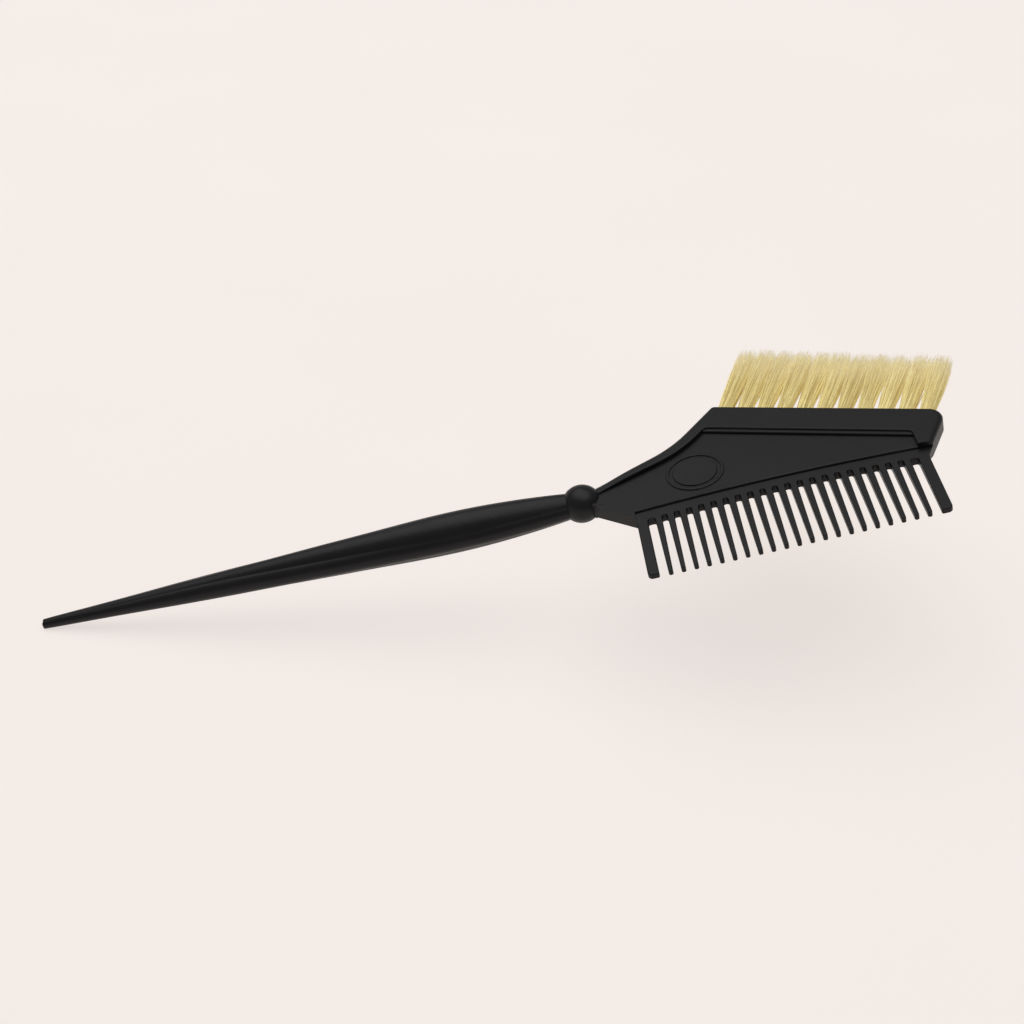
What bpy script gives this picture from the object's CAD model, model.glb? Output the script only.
import math

import bpy
import numpy as np
from mathutils import Matrix, Vector


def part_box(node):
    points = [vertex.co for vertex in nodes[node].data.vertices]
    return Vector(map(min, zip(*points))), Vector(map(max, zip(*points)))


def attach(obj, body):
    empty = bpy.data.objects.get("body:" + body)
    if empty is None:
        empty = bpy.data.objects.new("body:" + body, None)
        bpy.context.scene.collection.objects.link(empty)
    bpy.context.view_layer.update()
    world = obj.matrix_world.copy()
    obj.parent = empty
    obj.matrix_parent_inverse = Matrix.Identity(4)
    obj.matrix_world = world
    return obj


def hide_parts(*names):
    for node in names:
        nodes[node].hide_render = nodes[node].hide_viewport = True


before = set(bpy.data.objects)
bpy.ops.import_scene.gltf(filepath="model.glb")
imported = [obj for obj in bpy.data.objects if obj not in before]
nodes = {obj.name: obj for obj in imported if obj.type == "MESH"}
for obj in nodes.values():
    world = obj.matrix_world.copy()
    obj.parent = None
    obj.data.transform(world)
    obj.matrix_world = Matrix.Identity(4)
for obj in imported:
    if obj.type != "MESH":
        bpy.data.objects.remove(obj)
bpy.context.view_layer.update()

MM = 0.001

# ---------------------------------------------------------------- places taken from the frame
ball_low, ball_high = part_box("ball_collar")
ball_center = (ball_low + ball_high) / 2
tuft_angle = math.radians(25.5)    # from +Y towards the end of the bar
tuft_across = Vector((math.cos(tuft_angle), -math.sin(tuft_angle), 0))
tuft_direction = Vector((math.sin(tuft_angle), math.cos(tuft_angle), 0))
tuft_names = sorted(name for name in nodes if name.startswith("tuft_") and name[5:].isdigit())
black_names = [
    name for name in nodes
    if name in ("tail_handle", "ball_collar", "head_plate") or "tooth" in name
]


# ---------------------------------------------------------------- node helpers
def new_material(name):
    """A cleared node material and its Principled shader."""
    material = bpy.data.materials.new(name)
    material.use_nodes = True
    tree = material.node_tree
    shader = tree.nodes["Principled BSDF"]
    return material, tree, shader


def add_node(tree, kind, **inputs):
    """A shader node with its named inputs set."""
    node = tree.nodes.new(kind)
    for key, value in inputs.items():
        node.inputs[key.replace("_", " ")].default_value = value
    return node


def noise(tree, size, detail=2.0, roughness=0.5):
    """Noise in object space whose features are about size metres across."""
    place = tree.nodes.new("ShaderNodeTexCoord")
    texture = add_node(tree, "ShaderNodeTexNoise", Scale=1 / size, Detail=detail, Roughness=roughness)
    tree.links.new(place.outputs["Object"], texture.inputs["Vector"])
    return texture.outputs["Fac"]


def remap(tree, source, low, high, from_low=0.3, from_high=0.7):
    """A value taken from one range to another."""
    node = tree.nodes.new("ShaderNodeMapRange")
    node.inputs["From Min"].default_value = from_low
    node.inputs["From Max"].default_value = from_high
    node.inputs["To Min"].default_value = low
    node.inputs["To Max"].default_value = high
    tree.links.new(source, node.inputs["Value"])
    return node.outputs["Result"]


def blend_colors(tree, factor, first, second):
    """Mixes two colours by a factor; each may be a tuple or a socket."""
    node = tree.nodes.new("ShaderNodeMix")
    node.data_type = "RGBA"
    tree.links.new(factor, node.inputs["Factor"])
    for socket, color in ((node.inputs[6], first), (node.inputs[7], second)):
        if isinstance(color, tuple):
            socket.default_value = (*color, 1.0)
        else:
            tree.links.new(color, socket)
    return node.outputs[2]


def bump(tree, height, distance, strength, normal=None):
    """Bump from a height socket, on top of an earlier bump if one is given."""
    node = tree.nodes.new("ShaderNodeBump")
    node.inputs["Distance"].default_value = distance
    node.inputs["Strength"].default_value = strength
    tree.links.new(height, node.inputs["Height"])
    if normal is not None:
        tree.links.new(normal, node.inputs["Normal"])
    return node.outputs["Normal"]


# ---------------------------------------------------------------- materials
def black_plastic():
    """Satin moulded black plastic: fine spark-eroded grain, faint flow clouds, a little handling."""
    material, tree, shader = new_material("satin_black_plastic")
    clouds = noise(tree, 14 * MM, detail=3)
    grain = noise(tree, 0.35 * MM, detail=2)
    handling = noise(tree, 4 * MM, detail=5, roughness=0.62)
    deep_black, soft_black = (0.0052, 0.0049, 0.0060), (0.0078, 0.0074, 0.0086)
    color = blend_colors(tree, remap(tree, clouds, 0, 1), deep_black, soft_black)
    tree.links.new(color, shader.inputs["Base Color"])
    tree.links.new(remap(tree, handling, 0.36, 0.44), shader.inputs["Roughness"])
    tree.links.new(bump(tree, grain, 0.02 * MM, 0.35), shader.inputs["Normal"])
    shader.inputs["IOR"].default_value = 1.5
    shader.inputs["Specular IOR Level"].default_value = 0.23
    return material


def bristle_material():
    """Straw bristle: each hair its own tone, darker in streaks and pale at the flagged tips.

    The faint emission stands for the light that such thin hairs pass on to each other.
    """
    material, tree, shader = new_material("straw_bristle")
    tone = tree.nodes.new("ShaderNodeAttribute")
    tone.attribute_name = "tone"
    along = tree.nodes.new("ShaderNodeAttribute")
    along.attribute_name = "along"
    dark_straw, light_straw = (0.50, 0.375, 0.115), (1.0, 0.89, 0.44)
    pale_tip, dark_streak = (1.0, 0.93, 0.68), (0.44, 0.33, 0.12)
    hair = blend_colors(tree, tone.outputs["Fac"], dark_straw, light_straw)
    tip_share = remap(tree, along.outputs["Fac"], 0, 0.55, 0.55, 1.0)
    lit = blend_colors(tree, tip_share, hair, pale_tip)
    streaks = noise(tree, 0.9 * MM, detail=3)
    shade = blend_colors(tree, remap(tree, streaks, 0, 0.22), lit, dark_streak)
    tree.links.new(shade, shader.inputs["Base Color"])
    tree.links.new(shade, shader.inputs["Emission Color"])
    shader.inputs["Emission Strength"].default_value = 0.24
    tree.links.new(remap(tree, streaks, 0.42, 0.56), shader.inputs["Roughness"])
    shader.inputs["Sheen Weight"].default_value = 0.25
    shader.inputs["Sheen Roughness"].default_value = 0.4
    return material


def anchor_material():
    """Drawn flat brass wire with faint die lines."""
    material, tree, shader = new_material("anchor_brass")
    lines = noise(tree, 0.12 * MM, detail=2)
    dark_brass, light_brass = (0.66, 0.47, 0.20), (0.80, 0.62, 0.30)
    color = blend_colors(tree, remap(tree, lines, 0, 1), dark_brass, light_brass)
    tree.links.new(color, shader.inputs["Base Color"])
    tree.links.new(remap(tree, lines, 0.26, 0.42), shader.inputs["Roughness"])
    shader.inputs["Metallic"].default_value = 1.0
    return material


def table_material():
    """Plain warm off-white table, glowing a little like a light table so that shadows stay faint."""
    material, tree, shader = new_material("pale_table")
    mottle = noise(tree, 90 * MM, detail=2)
    dark_patch, light_patch = (0.250, 0.228, 0.216), (0.262, 0.240, 0.228)
    color = blend_colors(tree, remap(tree, mottle, 0, 1), dark_patch, light_patch)
    tree.links.new(color, shader.inputs["Base Color"])
    shader.inputs["Emission Color"].default_value = (1.0, 0.925, 0.885, 1.0)
    shader.inputs["Emission Strength"].default_value = 0.70
    shader.inputs["Roughness"].default_value = 0.9
    shader.inputs["Specular IOR Level"].default_value = 0.2
    return material


# ---------------------------------------------------------------- bristles
def tuft_measure(node):
    """Where a tuft's CAD envelope is: its axis point at the root, its length and its tip size."""
    points = np.array([vertex.co for vertex in node.data.vertices])
    along = points @ np.array(tuft_direction)
    across = points @ np.array(tuft_across)
    root = along.min()
    length = along.max() - root
    middle = (across.min() + across.max()) / 2
    height = (points[:, 2].min() + points[:, 2].max()) / 2
    start = tuft_across * middle + tuft_direction * root + Vector((0, 0, height))
    size = (across.max() - across.min(), points[:, 2].max() - points[:, 2].min())
    return start, length, size


HAIRS_PER_TUFT = 640
HAIR_STEPS = 10
HAIR_SIDES = 3
HOLE_DEPTH = 7 * MM
BUNDLE_RADIUS = 1.68 * MM          # radius of a tuft in its hole
ROOT_DEPTH = 1.6 * MM              # how far above the floor of the hole a hair starts
HAIR_RADIUS = 0.085 * MM
HAIR_TIP_SHARE = 0.22              # radius at the tip as a share of that at the root
TAPER_POWER = 1.6                  # above 1, a hair thins mostly near its tip
SPREAD_SHARE = 0.85                # share of the free length over which a tuft fans out
FAN_SHARE = (0.98, 0.92)           # size of the fanned tip as a share of its envelope
HAIR_STRAY = 0.24 * MM             # how far a hair's tip strays from its place in the fan
TUFT_STRAY = 0.12 * MM             # how far a whole tuft's tip strays
TRIM = 1.25 * MM                   # spread of the hair lengths
SHORT_SHARE = 0.32                 # share of hairs that are clearly shorter
SHORT_BY = (0.5, 4.0)              # how much shorter they are, in mm
BOW = 0.28 * MM
WAVE = 0.10 * MM
WAVE_TURNS = 1.2
THICKNESS_RANGE = (0.75, 1.2)
TONE_SPREAD = 0.34
FIRST_SEED = 1000


def disc_samples(rng, count):
    """Points spread over a unit disc on a sunflower spiral, each a little off its place."""
    golden_angle = math.pi * (3 - math.sqrt(5))
    order = np.arange(count) + 0.5
    radius = np.sqrt(order / count)
    angle = order * golden_angle
    points = np.stack([radius * np.cos(angle), radius * np.sin(angle)], axis=1)
    jitter = 0.35 / math.sqrt(count)
    return points + rng.normal(0, jitter, points.shape)


def disc_to_square(points):
    """Maps a unit disc most of the way onto a square, so that its corners stay soft."""
    squareness = 0.65
    radius = np.linalg.norm(points, axis=1, keepdims=True)
    largest = np.abs(points).max(axis=1, keepdims=True)
    return points * (1 - squareness + squareness * radius / largest)


def hair_rings(rng, node):
    """Corner points of every hair of one tuft, as hairs x steps x sides x 3."""
    start, length, size = tuft_measure(node)
    count = HAIRS_PER_TUFT
    samples = disc_samples(rng, count)
    root = samples * BUNDLE_RADIUS
    fan = disc_to_square(samples) * np.array(size) / 2 * np.array(FAN_SHARE)
    fan += rng.normal(0, HAIR_STRAY, fan.shape)
    fan += rng.normal(0, TUFT_STRAY, 2)
    reach = length - ROOT_DEPTH - np.abs(rng.normal(0, TRIM, count))
    short = rng.random(count) < SHORT_SHARE
    reach[short] -= rng.uniform(*SHORT_BY, short.sum()) * MM
    bow = rng.normal(0, BOW, (count, 2))
    wave = rng.normal(0, WAVE, (count, 2))
    phase = rng.uniform(0, 2 * math.pi, count)
    thickness = HAIR_RADIUS * rng.uniform(*THICKNESS_RANGE, count)

    depth = HOLE_DEPTH - ROOT_DEPTH
    rings = np.zeros((count, HAIR_STEPS, HAIR_SIDES, 3))
    across = np.array(tuft_across)
    along = np.array(tuft_direction)
    upward = np.array([0.0, 0.0, 1.0])
    corner_angles = 2 * math.pi * np.arange(HAIR_SIDES) / HAIR_SIDES
    for step, share in enumerate(np.linspace(0, 1, HAIR_STEPS)):
        height = reach * share
        free = np.clip((height - depth) / (reach - depth), 0, 1)
        spread = np.clip(free / SPREAD_SHARE, 0, 1)[:, None]
        side = root * (1 - spread) + fan * spread
        side += bow * (np.sin(math.pi * free) / 2)[:, None]
        side += wave * (np.sin(2 * math.pi * WAVE_TURNS * free + phase) * free)[:, None]
        radius = thickness * (1 - (1 - HAIR_TIP_SHARE) * free**TAPER_POWER)
        for corner, angle in enumerate(corner_angles):
            rings[:, step, corner] = (
                np.array(start)
                + along * (ROOT_DEPTH + height)[:, None]
                + across * (side[:, 0] + radius * math.cos(angle))[:, None]
                + upward * (side[:, 1] + radius * math.sin(angle))[:, None]
            )
    return rings


def hair_faces():
    """Faces of one hair: its sides between one ring of corners and the next, and its two ends."""
    faces = []
    for step in range(HAIR_STEPS - 1):
        low = step * HAIR_SIDES
        high = low + HAIR_SIDES
        for corner in range(HAIR_SIDES):
            after = (corner + 1) % HAIR_SIDES
            faces.append((low + corner, low + after, high + after, high + corner))
    last = (HAIR_STEPS - 1) * HAIR_SIDES
    faces.append(tuple(reversed(range(HAIR_SIDES))))
    faces.append(tuple(range(last, last + HAIR_SIDES)))
    return faces


def tuft_mesh(index, node):
    """One tuft as separate tapering hairs, folded at the root and fanned towards the tip."""
    rng = np.random.default_rng(FIRST_SEED + index)
    rings = hair_rings(rng, node)
    tone = np.clip(rng.normal(0.5, TONE_SPREAD, HAIRS_PER_TUFT), 0, 1)
    corners_per_hair = HAIR_STEPS * HAIR_SIDES
    one_hair = hair_faces()
    faces = []
    for hair in range(HAIRS_PER_TUFT):
        first = hair * corners_per_hair
        faces += [tuple(first + corner for corner in face) for face in one_hair]
    mesh = bpy.data.meshes.new(f"bristles_{index:02d}")
    mesh.from_pydata(rings.reshape(-1, 3).tolist(), [], faces)
    mesh.update()
    tones = mesh.attributes.new("tone", "FLOAT", "POINT")
    tones.data.foreach_set("value", np.repeat(tone, corners_per_hair).astype(np.float32))
    alongs = mesh.attributes.new("along", "FLOAT", "POINT")
    steps = np.repeat(np.linspace(0, 1, HAIR_STEPS), HAIR_SIDES)
    alongs.data.foreach_set("value", np.tile(steps, HAIRS_PER_TUFT).astype(np.float32))
    mesh.polygons.foreach_set("use_smooth", [True] * len(mesh.polygons))
    return mesh


# ---------------------------------------------------------------- build
def dress(names, material):
    """Gives the named CAD nodes one material."""
    for name in names:
        nodes[name].data.materials.clear()
        nodes[name].data.materials.append(material)


dress(black_names, black_plastic())
dress(["tuft_anchors"], anchor_material())

straw = bristle_material()
for index, name in enumerate(tuft_names, start=1):
    piece = bpy.data.objects.new(f"bristles_{index:02d}", tuft_mesh(index, nodes[name]))
    bpy.context.scene.collection.objects.link(piece)
    piece.data.materials.append(straw)
    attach(piece, "root")
    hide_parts(name)

# ---------------------------------------------------------------- table
# The tail tip rests on the table; the table falls away under the head, as if that were propped up
TABLE_HALF = 3.0
TABLE_SLOPE = math.radians(13.4)
TIP_RADIUS = 1.25 * MM
handle_low, handle_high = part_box("tail_handle")
tip_bottom = Vector((handle_low.x + TIP_RADIUS, ball_center.y, ball_center.z - TIP_RADIUS))

table_mesh = bpy.data.meshes.new("table")
table_mesh.from_pydata(
    [(x * TABLE_HALF, y * TABLE_HALF, 0) for x, y in ((-1, -1), (1, -1), (1, 1), (-1, 1))],
    [],
    [(0, 1, 2, 3)],
)
table = bpy.data.objects.new("table", table_mesh)
table.location = tip_bottom
table.rotation_euler = (0, TABLE_SLOPE, 0)
bpy.context.scene.collection.objects.link(table)
table.data.materials.append(table_material())

# ---------------------------------------------------------------- light
scene = bpy.context.scene
scene.view_settings.view_transform = "Standard"
world = bpy.data.worlds.new("studio")
scene.world = world
world.use_nodes = True
sky = world.node_tree.nodes["Background"]
sky.inputs["Color"].default_value = (1.0, 0.985, 0.965, 1)
sky.inputs["Strength"].default_value = 0.28


def softbox(name, offset, size, power):
    """A rectangular soft light, offset from the ball collar and turned to face the brush."""
    data = bpy.data.lights.new(name, "AREA")
    data.shape = "RECTANGLE"
    data.size, data.size_y = size
    data.energy = power
    light = bpy.data.objects.new(name, data)
    place = ball_center + Vector(offset)
    light.location = place
    light.rotation_euler = (ball_center - place).to_track_quat("-Z", "Y").to_euler()
    scene.collection.objects.link(light)


softbox("overhead", (0.2, 0.3, 1.3), (2.2, 1.5), 16.0)

# ---------------------------------------------------------------- camera
camera_offset = Vector((16.7, -311.25, 232.8)) * MM    # from the ball collar
aim_offset = Vector((-17.0, 3.05, 0.0)) * MM
camera_roll = math.radians(16.6)
focal_length = 57.2

camera_data = bpy.data.cameras.new("camera")
camera_data.lens = focal_length
camera_data.sensor_width = 36.0
camera_data.clip_start = 0.01
camera = bpy.data.objects.new("camera", camera_data)
camera.location = ball_center + camera_offset
look = (aim_offset - camera_offset).to_track_quat("-Z", "Y")
camera.rotation_euler = (look.to_matrix() @ Matrix.Rotation(-camera_roll, 3, "Z")).to_euler()
scene.collection.objects.link(camera)
scene.camera = camera
